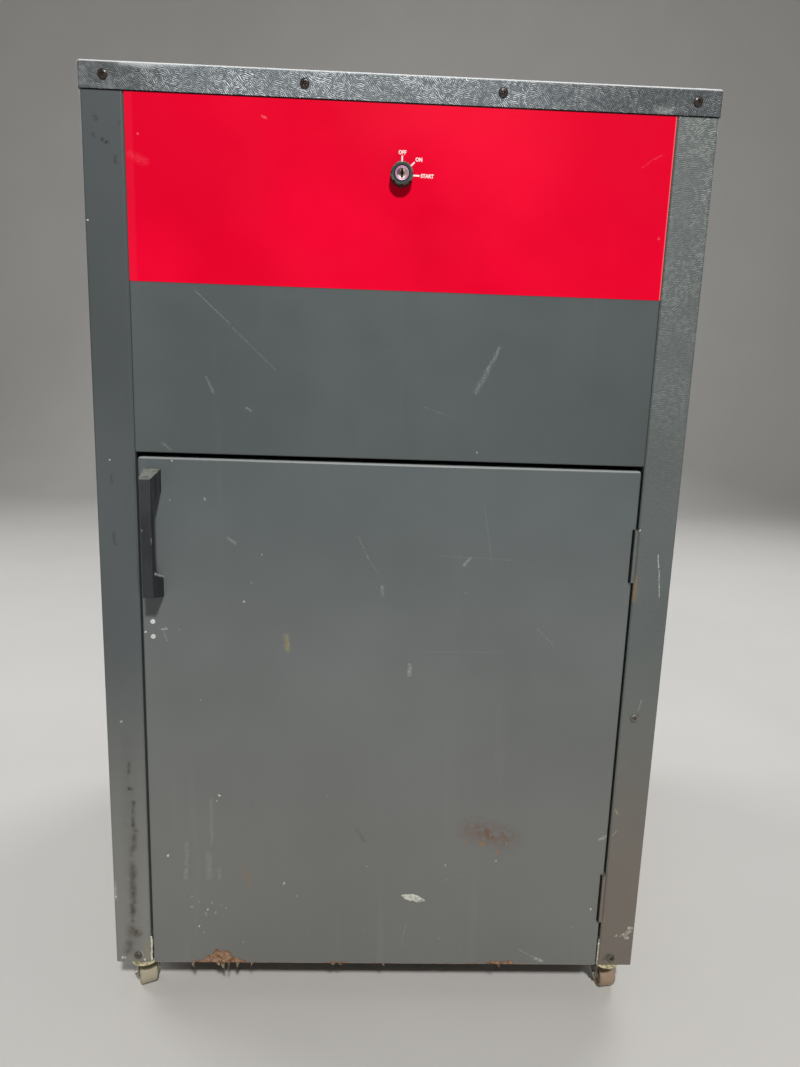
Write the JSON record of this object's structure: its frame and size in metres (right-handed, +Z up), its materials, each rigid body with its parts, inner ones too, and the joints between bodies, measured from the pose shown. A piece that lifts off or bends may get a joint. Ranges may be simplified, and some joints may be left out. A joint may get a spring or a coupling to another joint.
{
  "type": "waste compactor",
  "caption": "Free-standing waste compactor cabinet on small casters, with a key switch, a hinged loading door and a screw-driven ram over a lift-out bin.",
  "frame": {"origin": "centre of the bounding box's footprint, on the floor the wheels stand on", "axes": "+Z up, -Y towards the front with the door, +X towards the door's hinges"},
  "size_m": [0.6124, 0.6434, 1.01],
  "materials": {
    "grained_panel": "embossed grain coating, dark grey, semi-gloss",
    "grained_cover": "embossed grain coating, dark grey, semi-gloss, worn at one corner",
    "door_paint": "smooth semi-gloss dark grey enamel",
    "label_red": "satin red",
    "galvanised": "zinc-coated sheet",
    "screw_black": "black phosphate",
    "zinc": "bright zinc plate",
    "grommet_rubber": "matt black",
    "handle_plastic": "scuffed black",
    "rivet_steel": "dull",
    "switch_plastic": "black",
    "plunger_plastic": "natural white",
    "hinge_steel": "dark grey enamel, rust at the lower hinge",
    "bezel_black": "black",
    "key_chrome": "polished",
    "bin_paint": "grey enamel",
    "frame_paint": "grey enamel",
    "bearing_iron": "as cast",
    "screw_steel": "oiled",
    "pulley_aluminium": "turned",
    "belt_rubber": "matt black",
    "gearbox_aluminium": "die cast",
    "motor_paint": "black enamel",
    "capacitor_aluminium": "plain can",
    "nut_bronze": "machined bronze",
    "wheel_nylon": "beige nylon"
  },
  "bodies": {
    "cabinet": {"left_side_panel": "grained_panel", "right_side_panel": "grained_panel", "top_cover": "grained_cover", "front_upper_panel": "door_paint", "control_label": "label_red", "rear_panel": "galvanised", "base_pan": "galvanised", "cover_screws": "screw_black", "panel_screws": "screw_black", "frame_bolts": "zinc", "cord_grommet": "grommet_rubber", "magnetic_catch": "switch_plastic", "door_switch": "switch_plastic", "hinge_frame_leaves": "hinge_steel", "hinge_pins": "zinc", "key_switch_body": "switch_plastic", "key_switch_bezel": "bezel_black", "waste_bin": "bin_paint", "bin_rails": "galvanised", "left_column": "frame_paint", "right_column": "frame_paint", "drive_deck": "frame_paint", "chamber_rear_wall": "galvanised", "upper_screw_bearings": "bearing_iron", "lower_screw_bearings": "bearing_iron", "drive_belt": "belt_rubber", "gearbox": "gearbox_aluminium", "motor": "motor_paint", "run_capacitor": "capacitor_aluminium", "control_box": "switch_plastic", "ram_limit_switch": "switch_plastic", "caster_plates": "zinc", "rear_caster_forks": "zinc"},
    "door": {"door_skin": "door_paint", "door_liner": "door_paint", "door_handle": "handle_plastic", "handle_screws": "screw_black", "catch_strike": "zinc", "door_rivets": "rivet_steel", "hinge_door_leaves": "hinge_steel"},
    "key": {"key_cylinder": "key_chrome"},
    "door_plunger": {"door_switch_plunger": "plunger_plastic"},
    "limit_plunger": {"ram_limit_plunger": "plunger_plastic"},
    "ram": {"ram_crosshead": "frame_paint", "ram_nuts": "nut_bronze", "ram_guides": "plunger_plastic", "ram_box": "frame_paint", "ram_platen": "zinc"},
    "left_screw": {"left_power_screw": "screw_steel", "left_screw_pulley": "pulley_aluminium"},
    "right_screw": {"right_power_screw": "screw_steel", "right_screw_pulley": "pulley_aluminium"},
    "drive": {"drive_shaft": "screw_steel", "drive_pulley": "pulley_aluminium"},
    "front_left_swivel": {"front_left_caster_fork": "zinc"},
    "front_right_swivel": {"front_right_caster_fork": "zinc"},
    "front_left_roller": {"front_left_wheel": "wheel_nylon"},
    "front_right_roller": {"front_right_wheel": "wheel_nylon"},
    "rear_left_roller": {"rear_left_wheel": "wheel_nylon"},
    "rear_right_roller": {"rear_right_wheel": "wheel_nylon"}
  },
  "joints": [
    {"name": "door_hinge", "type": "hinge", "parent": "cabinet", "child": "door", "pos_m": [0.2613, -0.2922, 0.35], "axis": [0, 0, 1], "range_deg": [0, 165]},
    {"name": "key_turn", "type": "hinge", "parent": "cabinet", "child": "key", "pos_m": [0, -0.3, 0.92], "axis": [0, 1, 0], "range_deg": [0, 90]},
    {"name": "door_switch_press", "type": "slide", "parent": "cabinet", "child": "door_plunger", "axis": [0, 1, 0], "range_m": [0, 0.003], "stiffness_N_per_m": 250},
    {"name": "limit_switch_press", "type": "slide", "parent": "cabinet", "child": "limit_plunger", "axis": [0, 0, 1], "range_m": [0, 0.003], "stiffness_N_per_m": 250},
    {"name": "ram_slide", "type": "slide", "parent": "cabinet", "child": "ram", "axis": [0, 0, -1], "range_m": [0, 0.34]},
    {"name": "left_screw_spin", "type": "hinge", "parent": "cabinet", "child": "left_screw", "pos_m": [-0.272, -0.0427, 0.5], "axis": [0, 0, 1], "continuous": true},
    {"name": "right_screw_spin", "type": "hinge", "parent": "cabinet", "child": "right_screw", "pos_m": [0.272, -0.0427, 0.5], "axis": [0, 0, 1], "continuous": true},
    {"name": "drive_spin", "type": "hinge", "parent": "cabinet", "child": "drive", "pos_m": [0, 0.2483, 0.9], "axis": [0, 0, 1], "continuous": true},
    {"name": "front_left_swivel_turn", "type": "hinge", "parent": "cabinet", "child": "front_left_swivel", "pos_m": [-0.28, -0.2587, 0.04], "axis": [0, 0, 1], "continuous": true},
    {"name": "front_right_swivel_turn", "type": "hinge", "parent": "cabinet", "child": "front_right_swivel", "pos_m": [0.28, -0.2587, 0.04], "axis": [0, 0, 1], "continuous": true},
    {"name": "front_left_wheel_spin", "type": "hinge", "parent": "front_left_swivel", "child": "front_left_roller", "pos_m": [-0.27675, -0.26601, 0.015], "axis": [0.9135, 0.4067, 0], "continuous": true},
    {"name": "front_right_wheel_spin", "type": "hinge", "parent": "front_right_swivel", "child": "front_right_roller", "pos_m": [0.28111, -0.26662, 0.015], "axis": [0.9903, 0.1392, 0], "continuous": true},
    {"name": "rear_left_wheel_spin", "type": "hinge", "parent": "cabinet", "child": "rear_left_roller", "pos_m": [-0.28, 0.2853, 0.015], "axis": [1, 0, 0], "continuous": true},
    {"name": "rear_right_wheel_spin", "type": "hinge", "parent": "cabinet", "child": "rear_right_roller", "pos_m": [0.28, 0.2853, 0.015], "axis": [1, 0, 0], "continuous": true}
  ],
  "couplings": [
    {"joint": "left_screw_spin", "follows": "ram_slide", "rad_per_m": 785.4},
    {"joint": "right_screw_spin", "follows": "ram_slide", "rad_per_m": 785.4},
    {"joint": "drive_spin", "follows": "ram_slide", "rad_per_m": 1570.8}
  ]
}
